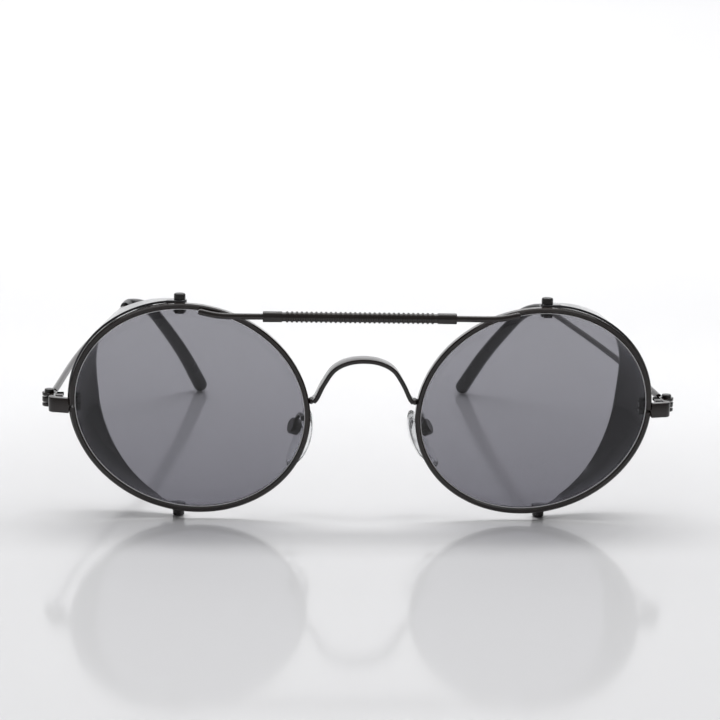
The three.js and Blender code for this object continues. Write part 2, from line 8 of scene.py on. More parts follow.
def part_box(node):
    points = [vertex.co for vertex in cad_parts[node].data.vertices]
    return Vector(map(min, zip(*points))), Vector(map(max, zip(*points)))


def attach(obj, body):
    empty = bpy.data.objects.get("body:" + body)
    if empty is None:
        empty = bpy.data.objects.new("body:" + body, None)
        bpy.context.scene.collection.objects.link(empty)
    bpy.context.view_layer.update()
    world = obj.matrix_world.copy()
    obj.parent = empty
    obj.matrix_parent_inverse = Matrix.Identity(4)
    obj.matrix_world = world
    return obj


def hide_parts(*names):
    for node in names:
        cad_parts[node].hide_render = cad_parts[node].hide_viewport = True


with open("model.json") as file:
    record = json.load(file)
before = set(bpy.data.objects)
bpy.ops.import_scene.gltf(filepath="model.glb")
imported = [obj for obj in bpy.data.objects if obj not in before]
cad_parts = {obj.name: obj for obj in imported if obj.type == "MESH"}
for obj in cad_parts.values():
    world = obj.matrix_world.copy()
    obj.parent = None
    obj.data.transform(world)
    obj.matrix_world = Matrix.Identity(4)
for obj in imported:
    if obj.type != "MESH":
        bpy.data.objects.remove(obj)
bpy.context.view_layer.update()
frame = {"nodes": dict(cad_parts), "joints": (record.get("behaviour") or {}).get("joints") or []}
print("frame loaded:", len(frame["nodes"]), "nodes")

mm = 0.001  # sizes below are in millimetres unless a note says otherwise
sides = {"L": -1, "R": 1}


def middle(node):  # centre of a node's box
    low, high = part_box(node)
    return (low + high) / 2 / mm


def corner(node, high=False):  # low or high corner of a node's box
    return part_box(node)[1 if high else 0] / mm


lensCentre = middle("lens_R")  # x out from the nose, y of the lens plane, z above the table
facePlane = lensCentre.y


camera = {"distance": 400, "turn": 4.0, "down": 12.0, "roll": 1.42, "lens": 96.8,
          "aim": (-0.86, 34.25), "clip": (0.01, 20)}  # angles in degrees, aim across and up, clip in metres


def makeCamera():
    turn = math.radians(camera["turn"])
    down = math.radians(camera["down"])
    ahead = Vector((math.sin(turn) * math.cos(down), math.cos(turn) * math.cos(down), -math.sin(down)))
    level = Vector((math.cos(turn), -math.sin(turn), 0))
    rolled = Matrix.Rotation(-math.radians(camera["roll"]), 3, ahead)
    right = rolled @ level
    up = rolled @ level.cross(ahead)
    aim = Vector((camera["aim"][0], facePlane, camera["aim"][1]))
    eye = (aim - ahead * camera["distance"]) * mm
    data = bpy.data.cameras.new("frontCamera")
    data.lens = camera["lens"]
    data.clip_start, data.clip_end = camera["clip"]
    data.dof.use_dof = False
    view = bpy.data.objects.new("frontCamera", data)
    view.matrix_world = Matrix.Translation(eye) @ Matrix((right, up, -ahead)).transposed().to_4x4()
    bpy.context.scene.collection.objects.link(view)
    bpy.context.scene.camera = view


def startMaterial(name):
    material = bpy.data.materials.new(name)
    material.use_nodes = True
    return material, material.node_tree.nodes["Principled BSDF"]


stage = {"width": 4.0, "front": -2.4, "back": 0.62, "bend": 0.36, "height": 1.4, "steps": 24,
         "white": (0.80, 0.80, 0.81, 1), "roughness": 0.11}  # sizes in metres


def whiteTable():
    material, shader = startMaterial("whiteTable")
    shader.inputs["Base Color"].default_value = stage["white"]
    shader.inputs["Roughness"].default_value = stage["roughness"]
    shader.inputs["IOR"].default_value = 1.5
    return material


def makeStage():  # glossy white table that curves up into the backdrop
    profile = [(stage["front"], 0), (stage["back"], 0)]
    for step in range(1, stage["steps"] + 1):
        angle = step / stage["steps"] * math.pi / 2
        along = stage["back"] + stage["bend"] * math.sin(angle)
        profile.append((along, stage["bend"] * (1 - math.cos(angle))))
    profile.append((stage["back"] + stage["bend"], stage["height"]))
    half = stage["width"] / 2
    corners = [(x, y, z) for y, z in profile for x in (-half, half)]
    faces = [(2 * i, 2 * i + 1, 2 * i + 3, 2 * i + 2) for i in range(len(profile) - 1)]
    mesh = bpy.data.meshes.new("table")
    mesh.from_pydata(corners, [], faces)
    mesh.shade_smooth()
    mesh.materials.append(whiteTable())
    table = bpy.data.objects.new("table", mesh)
    bpy.context.scene.collection.objects.link(table)


skyStrength = 0.27
lamps = [  # places and sizes in metres
    {"name": "overheadSoftbox", "at": (0, 0.02, 0.95), "aim": (0, -0.02, 0),
     "size": (1.5, 0.7), "power": 3.3},
    {"name": "backdropSoftbox", "at": (0, 0.4, 1.1), "aim": (0, 0.9, 0.3),
     "size": (1.8, 0.4), "power": 14},
]


def makeLight():
    for lamp in lamps:
        data = bpy.data.lights.new(lamp["name"], "AREA")
        data.shape = "RECTANGLE"
        data.size, data.size_y = lamp["size"]
        data.energy = lamp["power"]
        light = bpy.data.objects.new(lamp["name"], data)
        at = Vector(lamp["at"])
        light.location = at
        light.rotation_euler = (Vector(lamp["aim"]) - at).to_track_quat("-Z", "Y").to_euler()
        bpy.context.scene.collection.objects.link(light)
    world = bpy.data.worlds.new("studio")
    world.use_nodes = True
    sky = world.node_tree.nodes["Background"]
    sky.inputs["Color"].default_value = (1, 1, 1, 1)
    sky.inputs["Strength"].default_value = skyStrength
    bpy.context.scene.world = world
    bpy.context.scene.view_settings.view_transform = "Standard"


makeCamera()
makeStage()
makeLight()
print("camera, table and light made")


finishes = {  # cloud and grain are noises: cycles per metre, then detail
    "satinBlackLacquer": {
        "dark": (0.010, 0.006, 0.005), "light": (0.016, 0.010, 0.008), "rough": (0.13, 0.19),
        "cloud": (260, 2), "grain": (5200, 4), "relief": 0.12, "coat": 0.25,
    },
    "glossBlackLacquer": {
        "dark": (0.020, 0.020, 0.025), "light": (0.026, 0.026, 0.032), "rough": (0.15, 0.19),
        "cloud": (40, 2), "grain": (60, 4), "relief": 0.04, "coat": 0.8,
    },
    "blackAcetate": {
        "dark": (0.005, 0.005, 0.006), "light": (0.008, 0.008, 0.009), "rough": (0.2, 0.28),
        "cloud": (260, 2), "grain": (2200, 4), "relief": 0.1, "coat": 0.3,
    },
    "blackScrewSteel": {
        "dark": (0.012, 0.011, 0.011), "light": (0.022, 0.02, 0.02), "rough": (0.18, 0.26),
        "cloud": (260, 2), "grain": (6000, 4), "relief": 0.15, "coat": 0.0,
    },
    "clearSilicone": {
        "dark": (0.93, 0.94, 0.95), "light": (0.97, 0.98, 0.98), "rough": (0.08, 0.16),
        "cloud": (500, 2),
    },
    # the lens's ground edge, near white so that it also works as a painted highlight line along the rim
    "groundEdgeGlint": {
        "dark": (0.78, 0.78, 0.8), "light": (0.86, 0.86, 0.88), "rough": (0.35, 0.5),
        "cloud": (900, 3),
    },
}
noiseUse = {"gloss": (0.3, 0.7), "tone": (0.35, 0.65)}  # the stretch of a noise's values that counts
grainHeight = 0.04


def noiseOn(tree, scale, detail):  # noise on object coordinates
    place = tree.nodes.new("ShaderNodeTexCoord")
    noise = tree.nodes.new("ShaderNodeTexNoise")
    noise.inputs["Scale"].default_value = scale
    noise.inputs["Detail"].default_value = detail
    tree.links.new(place.outputs["Object"], noise.inputs["Vector"])
    return noise.outputs["Fac"]


def spread(tree, source, low, high):  # turns a noise into low..high
    scale = tree.nodes.new("ShaderNodeMapRange")
    scale.inputs["From Min"].default_value, scale.inputs["From Max"].default_value = noiseUse["gloss"]
    scale.inputs["To Min"].default_value = low
    scale.inputs["To Max"].default_value = high
    tree.links.new(source, scale.inputs["Value"])
    return scale.outputs["Result"]


def tone(tree, source, first, second):  # blends two colours by a noise
    ramp = tree.nodes.new("ShaderNodeValToRGB")
    for stop, position, colour in zip(ramp.color_ramp.elements, noiseUse["tone"], (first, second)):
        stop.position = position
        stop.color = (*colour, 1)
    tree.links.new(source, ramp.inputs["Fac"])
    return ramp.outputs["Color"]


def mottled(name):  # a surface whose tone and gloss vary softly
    finish = finishes[name]
    material, shader = startMaterial(name)
    tree = material.node_tree
    cloud = noiseOn(tree, *finish["cloud"])
    tree.links.new(tone(tree, cloud, finish["dark"], finish["light"]), shader.inputs["Base Color"])
    tree.links.new(spread(tree, cloud, *finish["rough"]), shader.inputs["Roughness"])
    return material, shader


def lacquer(name):  # fine grain under a clear coat
    finish = finishes[name]
    material, shader = mottled(name)
    tree = material.node_tree
    bump = tree.nodes.new("ShaderNodeBump")
    bump.inputs["Strength"].default_value = finish["relief"]
    bump.inputs["Distance"].default_value = grainHeight * mm
    tree.links.new(noiseOn(tree, *finish["grain"]), bump.inputs["Height"])
    tree.links.new(bump.outputs["Normal"], shader.inputs["Normal"])
    shader.inputs["IOR"].default_value = 1.5
    shader.inputs["Coat Weight"].default_value = finish["coat"]
    shader.inputs["Coat Roughness"].default_value = 0.06
    return material


def clearSilicone():
    material, shader = mottled("clearSilicone")
    shader.inputs["Transmission Weight"].default_value = 1.0
    shader.inputs["IOR"].default_value = 1.41
    return material


# top and bottom are the lens's smoke tint, made darker towards the bottom as painted shade; low and high
# are the heights in millimetres where each is reached
lensTintAndShade = {"top": (0.541, 0.539, 0.562, 1), "bottom": (0.458, 0.455, 0.486, 1), "low": 4, "high": 44,
            "gloss": 0.02, "mirror": 0.04, "falloff": 5.0}  # mirror is the sheen seen straight on


def smokeLensPaintedShade():  # clear through, with painted shade making it darker below, glossy at a slant
    material, shader = startMaterial("smokeLensPaintedShade")
    tree = material.node_tree
    link = tree.links.new
    tree.nodes.remove(shader)
    place = tree.nodes.new("ShaderNodeTexCoord")
    parts = tree.nodes.new("ShaderNodeSeparateXYZ")
    height = tree.nodes.new("ShaderNodeMapRange")
    height.inputs["From Min"].default_value = lensTintAndShade["low"] * mm
    height.inputs["From Max"].default_value = lensTintAndShade["high"] * mm
    # painted shade: the tint grows darker from the top of the lens to the bottom
    ramp = tree.nodes.new("ShaderNodeValToRGB")
    ramp.color_ramp.elements[0].color = lensTintAndShade["bottom"]
    ramp.color_ramp.elements[1].color = lensTintAndShade["top"]
    clear = tree.nodes.new("ShaderNodeBsdfTransparent")
    gloss = tree.nodes.new("ShaderNodeBsdfGlossy")
    gloss.inputs["Roughness"].default_value = lensTintAndShade["gloss"]
    facing = tree.nodes.new("ShaderNodeLayerWeight")
    facing.inputs["Blend"].default_value = 0.5
    slant = tree.nodes.new("ShaderNodeMath")
    slant.operation = "POWER"
    slant.inputs[1].default_value = lensTintAndShade["falloff"]
    sheen = tree.nodes.new("ShaderNodeMapRange")
    sheen.inputs["To Min"].default_value = lensTintAndShade["mirror"]
    mix = tree.nodes.new("ShaderNodeMixShader")
    link(place.outputs["Object"], parts.inputs["Vector"])
    link(parts.outputs["Z"], height.inputs["Value"])
    link(height.outputs["Result"], ramp.inputs["Fac"])
    link(ramp.outputs["Color"], clear.inputs["Color"])
    link(facing.outputs["Facing"], slant.inputs[0])
    link(slant.outputs["Value"], sheen.inputs["Value"])
    link(sheen.outputs["Result"], mix.inputs["Fac"])
    link(clear.outputs["BSDF"], mix.inputs[1])
    link(gloss.outputs["BSDF"], mix.inputs[2])
    link(mix.outputs["Shader"], tree.nodes["Material Output"].inputs["Surface"])
    return material


frameBlack = lacquer("satinBlackLacquer")
shieldBlack = lacquer("glossBlackLacquer")
sockBlack = lacquer("blackAcetate")
screwBlack = lacquer("blackScrewSteel")
lensSmokeAndShade = smokeLensPaintedShade()
lensEdgeGlint = mottled("groundEdgeGlint")[0]
padClear = clearSilicone()
print("materials made")


def startTree(name, sizes):
    tree = bpy.data.node_groups.new(name, "GeometryNodeTree")
    sockets = tree.interface
    sockets.new_socket("Geometry", in_out="OUTPUT", socket_type="NodeSocketGeometry")
    sockets.new_socket("Geometry", in_out="INPUT", socket_type="NodeSocketGeometry")
    kinds = {int: "NodeSocketInt", float: "NodeSocketFloat", tuple: "NodeSocketVector"}
    for label, value in sizes.items():
        sockets.new_socket(label, in_out="INPUT", socket_type=kinds[type(value)]).default_value = value
    sockets.new_socket("Material", in_out="INPUT", socket_type="NodeSocketMaterial")
    return tree, tree.nodes.new("NodeGroupInput").outputs


def endTree(tree, given, geometry):  # smooth, realize, set material
    smooth = tree.nodes.new("GeometryNodeSetShadeSmooth")
    realize = tree.nodes.new("GeometryNodeRealizeInstances")
    paint = tree.nodes.new("GeometryNodeSetMaterial")
    out = tree.nodes.new("NodeGroupOutput")
    tree.links.new(geometry, smooth.inputs["Geometry"])
    tree.links.new(smooth.outputs["Geometry"], realize.inputs["Geometry"])
    tree.links.new(realize.outputs["Geometry"], paint.inputs["Geometry"])
    tree.links.new(given["Material"], paint.inputs["Material"])
    tree.links.new(paint.outputs["Geometry"], out.inputs["Geometry"])


def circle(tree, radius, sidesRound):
    ring = tree.nodes.new("GeometryNodeCurvePrimitiveCircle")
    tree.links.new(radius, ring.inputs["Radius"])
    tree.links.new(sidesRound, ring.inputs["Resolution"])
    return ring.outputs["Curve"]


def sweepAlong(tree, path, outline):
    sweep = tree.nodes.new("GeometryNodeCurveToMesh")
    sweep.inputs["Fill Caps"].default_value = True
    tree.links.new(path, sweep.inputs["Curve"])
    tree.links.new(outline, sweep.inputs["Profile Curve"])
    return sweep


def times(tree, source, factor):
    product = tree.nodes.new("ShaderNodeMath")
    product.operation = "MULTIPLY"
    product.inputs[1].default_value = factor
    tree.links.new(source, product.inputs[0])
    return product.outputs["Value"]


def vectorOf(tree, **axes):  # a vector from the named axes, the others zero
    vector = tree.nodes.new("ShaderNodeCombineXYZ")
    for axis, source in axes.items():
        tree.links.new(source, vector.inputs[axis.upper()])
    return vector.outputs["Vector"]


def copiesAlong(tree, line, start, step, shape):  # copies of a shape on a row of points
    copies = tree.nodes.new("GeometryNodeInstanceOnPoints")
    tree.links.new(start, line.inputs["Start Location"])
    tree.links.new(step, line.inputs["Offset"])
    tree.links.new(line.outputs["Mesh"], copies.inputs["Points"])
    tree.links.new(shape, copies.inputs["Instance"])
    return copies


def stripTree():  # rounded rectangular section along the given path
    sizes = {"Width": 0.001, "Depth": 0.002, "Corner": 0.0002, "Corner Steps": 3}
    tree, given = startTree("stripAlongPath", sizes)
    outline = tree.nodes.new("GeometryNodeCurvePrimitiveQuadrilateral")
    fillet = tree.nodes.new("GeometryNodeFilletCurve")
    fillet.mode = "POLY"
    tree.links.new(given["Width"], outline.inputs["Width"])
    tree.links.new(given["Depth"], outline.inputs["Height"])
    tree.links.new(outline.outputs["Curve"], fillet.inputs["Curve"])
    tree.links.new(given["Corner"], fillet.inputs["Radius"])
    tree.links.new(given["Corner Steps"], fillet.inputs["Count"])
    sweep = sweepAlong(tree, given["Geometry"], fillet.outputs["Curve"])
    endTree(tree, given, sweep.outputs["Mesh"])
    return tree


def wireTree():  # round section along the given path, thickness scaled by each point's radius
    tree, given = startTree("wireAlongPath", {"Radius": 0.0007, "Sides": 24})
    thickness = tree.nodes.new("GeometryNodeInputRadius")
    sweep = sweepAlong(tree, given["Geometry"], circle(tree, given["Radius"], given["Sides"]))
    tree.links.new(thickness.outputs["Radius"], sweep.inputs["Scale"])
    endTree(tree, given, sweep.outputs["Mesh"])
    return tree


def ribTree():  # rings evenly spaced along X, on the given rod
    sizes = {"Ribs": 31, "Pitch": 0.001, "First": -0.015, "Ring Radius": 0.0009, "Ring Sides": 28,
             "Bead Radius": 0.0002, "Bead Sides": 8}
    tree, given = startTree("ribbedSleeve", sizes)
    ring = circle(tree, given["Ring Radius"], given["Ring Sides"])
    bead = circle(tree, given["Bead Radius"], given["Bead Sides"])
    torus = sweepAlong(tree, ring, bead)
    row = tree.nodes.new("GeometryNodeMeshLine")
    tree.links.new(given["Ribs"], row.inputs["Count"])
    start = vectorOf(tree, x=given["First"])
    copies = copiesAlong(tree, row, start, vectorOf(tree, x=given["Pitch"]), torus.outputs["Mesh"])
    copies.inputs["Rotation"].default_value = (0, math.pi / 2, 0)
    join = tree.nodes.new("GeometryNodeJoinGeometry")
    tree.links.new(copies.outputs["Instances"], join.inputs["Geometry"])
    tree.links.new(given["Geometry"], join.inputs["Geometry"])
    endTree(tree, given, join.outputs["Geometry"])
    return tree


def screwTree():  # slots the given screw body and sets one copy at each of two mirrored places
    sizes = {"Slot Width": 0.0003, "Slot Depth": 0.0003, "Head Top": 0.0, "Head Radius": 0.001,
             "Out": 0.03, "Back": 0.0, "Up": 0.0, "Turn": (0.0, 0.0, 0.0)}
    tree, given = startTree("slottedScrews", sizes)
    cutter = tree.nodes.new("GeometryNodeMeshCube")
    lift = tree.nodes.new("GeometryNodeTransform")
    cut = tree.nodes.new("GeometryNodeMeshBoolean")
    cut.operation = "DIFFERENCE"
    across = times(tree, given["Head Radius"], 3.0)  # longer than the head is wide
    deep = times(tree, given["Slot Depth"], 2.0)  # half of the cutter stands above the head
    tree.links.new(vectorOf(tree, x=across, y=given["Slot Width"], z=deep), cutter.inputs["Size"])
    tree.links.new(cutter.outputs["Mesh"], lift.inputs["Geometry"])
    tree.links.new(vectorOf(tree, z=given["Head Top"]), lift.inputs["Translation"])
    tree.links.new(given["Geometry"], cut.inputs["Mesh 1"])
    tree.links.new(lift.outputs["Geometry"], cut.inputs["Mesh 2"])
    pair = tree.nodes.new("GeometryNodeMeshLine")
    pair.inputs["Count"].default_value = 2
    first = vectorOf(tree, x=given["Out"], y=given["Back"], z=given["Up"])
    mirrored = vectorOf(tree, x=times(tree, given["Out"], -2.0))  # from one side to the other
    copies = copiesAlong(tree, pair, first, mirrored, cut.outputs["Mesh"])
    tree.links.new(given["Turn"], copies.inputs["Rotation"])
    endTree(tree, given, copies.outputs["Instances"])
    return tree


strips = stripTree()
wires = wireTree()
ribs = ribTree()
screws = screwTree()


def grow(holder, tree, settings, name):  # runs a tree on an object and keeps the result as a plain mesh
    modifier = holder.modifiers.new(name, "NODES")
    modifier.node_group = tree
    for item in tree.interface.items_tree:
        if item.in_out == "INPUT" and item.name in settings:
            modifier[item.identifier] = settings[item.name]
    evaluated = holder.evaluated_get(bpy.context.evaluated_depsgraph_get())
    mesh = bpy.data.meshes.new_from_object(evaluated)
    bpy.data.objects.remove(holder)
    mesh.name = name
    piece = bpy.data.objects.new(name, mesh)
    bpy.context.scene.collection.objects.link(piece)
    return piece


def pathObject(points, closed, flat, radii):  # a curve through the points
    data = bpy.data.curves.new("path", "CURVE")
    data.dimensions = "3D"
    data.twist_mode = "Z_UP" if flat else "MINIMUM"
    spline = data.splines.new("POLY")
    spline.points.add(len(points) - 1)
    for index, point in enumerate(points):
        spline.points[index].co = (*(Vector(point) * mm), 1)
        spline.points[index].radius = radii[index] if radii else 1
    spline.use_cyclic_u = closed
    holder = bpy.data.objects.new("path", data)
    bpy.context.scene.collection.objects.link(holder)
    return holder


def wirePiece(name, points, radius, material, sidesRound=24, radii=None, closed=False):
    settings = {"Radius": radius * mm, "Sides": sidesRound, "Material": material}
    return grow(pathObject(points, closed, False, radii), wires, settings, name)


def stripPiece(name, points, size):  # size is the piece's own dictionary, the path is level
    settings = {"Width": size["width"] * mm, "Depth": size["depth"] * mm, "Corner": size["corner"] * mm,
                "Corner Steps": size["cornerSteps"], "Material": frameBlack}
    return grow(pathObject(points, False, True, None), strips, settings, name)


def smoothPath(points, perStretch):  # a curve through every point
    vectors = [Vector(p) for p in points]
    ends = [2 * vectors[0] - vectors[1], *vectors, 2 * vectors[-1] - vectors[-2]]
    path = []
    for a, b, c, d in zip(ends, ends[1:], ends[2:], ends[3:]):
        for step in range(perStretch):
            t = step / perStretch
            path.append(0.5 * (2 * b + (c - a) * t + (2 * a - 5 * b + 4 * c - d) * t * t
                               + (3 * b - 3 * c + d - a) * t ** 3))
    path.append(vectors[-1])
    return path


def runLengths(path):
    lengths = [0.0]
    for a, b in zip(path, path[1:]):
        lengths.append(lengths[-1] + (b - a).length)
    return lengths


def pointAt(path, lengths, distance):
    for index in range(1, len(path)):
        if lengths[index] >= distance or index == len(path) - 1:
            span = lengths[index] - lengths[index - 1]
            share = (distance - lengths[index - 1]) / span
            return path[index - 1].lerp(path[index], min(max(share, 0), 1))


weldGap = 1e-7  # in metres


def meshPiece(name, points, faces, material, place=None):  # faces are made to point outwards
    shape = bmesh.new()
    corners = [shape.verts.new(Vector(p) * mm) for p in points]
    for face in faces:
        shape.faces.new([corners[i] for i in face])
    bmesh.ops.remove_doubles(shape, verts=shape.verts, dist=weldGap)
    if place:
        shape.transform(place)
    bmesh.ops.recalc_face_normals(shape, faces=shape.faces)
    mesh = bpy.data.meshes.new(name)
    shape.to_mesh(mesh)
    shape.free()
    mesh.materials.append(material)
    piece = bpy.data.objects.new(name, mesh)
    bpy.context.scene.collection.objects.link(piece)
    return piece


def tubeFaces(rings, around):  # quads between rings of points, and a face over each end
    faces = []
    for ring in range(rings - 1):
        here, there = ring * around, (ring + 1) * around
        for i in range(around):
            after = (i + 1) % around
            faces.append((here + i, here + after, there + after, there + i))
    faces.append(tuple(range(around)))
    faces.append(tuple(range((rings - 1) * around, rings * around)))
    return faces


poleGap = 1e-4  # keeps a pole's points apart until they are welded


def turned(name, profile, material, place=None, around=40):  # profile of (radius, height), pole to pole
    points = []
    for radius, height in profile:
        reach = max(radius, poleGap)
        for step in range(around):
            angle = step / around * 2 * math.pi
            points.append((reach * math.cos(angle), reach * math.sin(angle), height))
    return meshPiece(name, points, tubeFaces(len(profile), around), material, place)


def quarter(centre, radius, start, steps=8):  # points of a quarter circle, start in degrees
    turns = [math.radians(start + 90 * step / steps) for step in range(steps + 1)]
    return [(centre[0] + radius * math.cos(t), centre[1] + radius * math.sin(t)) for t in turns]


def roundedProfile(radius, low, high, edge, steps=4):  # a disc's half section with softened rims
    lowerRim = quarter((radius - edge, low + edge), edge, -90, steps)
    upperRim = quarter((radius - edge, high - edge), edge, 0, steps)
    return [(0, low), *lowerRim, *upperRim, (0, high)]


def disc(name, x, y, radius, low, high, edge):  # upright, black as the frame
    place = Matrix.Translation((x * mm, y * mm, 0))
    return turned(name, roundedProfile(radius, low, high, edge), frameBlack, place)


def plate(name, outline, low, high, material, edge):  # outline from above, edges softened
    count = len(outline)
    points = [(x, y, low) for x, y in outline] + [(x, y, high) for x, y in outline]
    piece = meshPiece(name, points, tubeFaces(2, count), material)
    soften = piece.modifiers.new("soften", "BEVEL")
    soften.width = edge * mm
    soften.segments = 3
    soften.limit_method = "ANGLE"
    soften.angle_limit = math.radians(40)
    return piece


def block(name, side, low, high, edge):  # corners are the right-hand ones
    outline = [(low[0], low[1]), (high[0], low[1]), (high[0], high[1]), (low[0], high[1])]
    return plate(name, [(side * x, y) for x, y in outline], low[2], high[2], frameBlack, edge)


def fused(name, pieces):  # several shells kept as one piece, modifiers applied
    graph = bpy.context.evaluated_depsgraph_get()
    shape = bmesh.new()
    material = pieces[0].data.materials[0]
    for piece in pieces:
        solid = bpy.data.meshes.new_from_object(piece.evaluated_get(graph))
        shape.from_mesh(solid)
        bpy.data.meshes.remove(solid)
    mesh = bpy.data.meshes.new(name)
    shape.to_mesh(mesh)
    shape.free()
    mesh.materials.append(material)
    for piece in pieces:
        bpy.data.objects.remove(piece)
    whole = bpy.data.objects.new(name, mesh)
    bpy.context.scene.collection.objects.link(whole)
    return whole


def settle(piece, body, slotName, *nodes, sharp=35):  # shading, body and the nodes it replaces; the finish named by slotName is not used
    piece.data.shade_smooth()
    piece.data.set_sharp_from_angle(angle=math.radians(sharp))
    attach(piece, body)
    if nodes:
        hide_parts(*nodes)


def flip(points, side):  # right-hand points, mirrored for the left
    return [Vector((side * p[0], p[1], p[2])) for p in points]


rim = {"halfLength": 24.5, "halfHeight": 21.2, "tilt": 17, "width": 1.1, "depth": 2.0, "corner": 0.25,
       "cornerSteps": 1, "gap": 0.6, "steps": 300}  # tilt in degrees
upright = Matrix.Rotation(math.pi / 2, 4, "X")  # lifts a flat drawing onto the face plane


def rimDrawing(halfLength, halfHeight, angle, side):  # a point of the tilted oval, drawn flat
    tilt = math.radians(rim["tilt"])
    along = halfLength * math.cos(angle)
    across = halfHeight * math.sin(angle)
    out = along * math.cos(tilt) - across * math.sin(tilt)
    return side * out, along * math.sin(tilt) + across * math.cos(tilt)


def splitAngle():  # where the rim is cut, level with the hinge
    out = middle("hinge_screw_R").x - lensCentre.x
    up = middle("end_piece_R").z - lensCentre.z
    level = math.atan2(up, out) - math.radians(rim["tilt"])
    return math.atan2(math.sin(level) / rim["halfHeight"], math.cos(level) / rim["halfLength"])


def makeEyewire(tag, side):
    start = splitAngle() + rim["gap"] / 2 / rim["halfLength"]
    turn = 2 * math.pi - rim["gap"] / rim["halfLength"]
    path = []
    for step in range(rim["steps"] + 1):
        angle = start + turn * step / rim["steps"]
        path.append((*rimDrawing(rim["halfLength"], rim["halfHeight"], angle, side), 0))
    piece = stripPiece("rim_" + tag, path, rim)
    place = Matrix.Translation(Vector((side * lensCentre.x, lensCentre.y, lensCentre.z)) * mm)
    piece.data.transform(place @ upright)
    settle(piece, "front", "frame_metal", "eyewire_" + tag)


def lensRing(inset, share, deep, count, side):  # points round the lens, deep behind the face plane
    halfLength = (rim["halfLength"] - rim["width"] / 2 - inset) * share
    halfHeight = (rim["halfHeight"] - rim["width"] / 2 - inset) * share
    ring = []
    for step in range(count):
        x, z = rimDrawing(halfLength, halfHeight, step / count * 2 * math.pi, side)
        ring.append((side * lensCentre.x + x, facePlane + deep, lensCentre.z + z))
    return ring


lens = {"tuck": 0.15, "front": -0.6, "bow": 0.3, "thickness": 1.0, "bevel": 0.3, "flat": 0.975,
        "rings": 14, "points": 160}


def makeLens(tag, side):  # thin bowed disc, its edge tucked into the rim
    shares = [step / lens["rings"] for step in range(1, lens["rings"] + 1)]
    front = [(share * lens["flat"], lens["front"] + lens["bow"] * share ** 2) for share in shares]
    rear = [(share, deep + lens["thickness"]) for share, deep in reversed(front)]
    edge = lens["front"] + lens["bow"]
    rings = [*front, (1.0, edge + lens["bevel"]), (1.0, edge + lens["thickness"] - lens["bevel"]), *rear]
    points = []
    for share, deep in rings:
        points += lensRing(-lens["tuck"], share, deep, lens["points"], side)
    piece = meshPiece("lens_glass_" + tag, points, tubeFaces(len(rings), lens["points"]), lensSmokeAndShade)
    settle(piece, "front", "lens_tint", "lens_" + tag, sharp=30)


# ring for the lens's ground edge, near white as a painted highlight line
bevel = {"inset": 0.03, "radius": 0.12, "front": -0.42, "steps": 200, "sides": 10}


def makeLensEdgeGlint(tag, side):  # thin near-white ring where the lens meets the rim: the lens's ground edge, kept bright as a painted highlight line
    path = lensRing(bevel["inset"], 1.0, bevel["front"], bevel["steps"], side)
    name = "lens_edge_glint_" + tag
    piece = wirePiece(name, path, bevel["radius"], lensEdgeGlint, bevel["sides"], closed=True)
    settle(piece, "front", "lens_tint")


for tag, side in sides.items():
    makeEyewire(tag, side)
    makeLens(tag, side)
    makeLensEdgeGlint(tag, side)
print("rims and lenses made")


bridge = {"width": 0.93, "depth": 4.0, "corner": 0.22, "cornerSteps": 4, "spring": 25.5, "crown": 34.2,
          "half": 10.35, "steps": 16,  # arch is in shares of half and of the rise to the crown
          "arch": [(1, 0), (0.93, 0.1), (0.8, 0.42), (0.6, 0.77), (0.32, 0.95)]}


def makeBridge():
    rise = bridge["crown"] - bridge["spring"]
    right = [(bridge["half"] * x, bridge["spring"] + rise * z, 0) for x, z in bridge["arch"]]
    path = smoothPath([*flip(right, -1), (0, bridge["crown"], 0), *reversed(right)], bridge["steps"])
    piece = stripPiece("bridge_strip", path, bridge)
    piece.data.transform(Matrix.Translation((0, middle("bridge").y * mm, 0)) @ upright)
    settle(piece, "front", "frame_metal", "bridge")


bar = {"radius": 0.64, "straight": 27.0, "half": 33.0, "rise": 0.9, "early": 0.3, "tip": 0.75,
       "inner": (-19, -9, 0, 9, 19), "steps": 8}  # early is the share risen halfway along the bend


def makeBrowBar():
    bendMiddle = ((bar["straight"] + bar["half"]) / 2, 0, bar["rise"] * bar["early"])
    right = [(bar["straight"], 0, 0), bendMiddle, (bar["half"], 0, bar["rise"])]
    inner = [(x, 0, 0) for x in bar["inner"]]
    line = smoothPath([*reversed(flip(right, -1)), *inner, *right], bar["steps"])
    radii = [1.0] * len(line)
    radii[0] = radii[-1] = bar["tip"]
    path = [middle("brow_sleeve") + point for point in line]
    piece = wirePiece("brow_rod", path, bar["radius"], frameBlack, radii=radii)
    settle(piece, "front", "frame_metal", "brow_bar")


sleeve = {"radius": 1.2, "half": 19.9, "collar": 4.0, "collarRadius": 1.13, "edge": 0.16, "ribs": 31,
          "bead": 0.34, "core": 0.95, "coreEdge": 0.1, "coreTuck": 1.0}


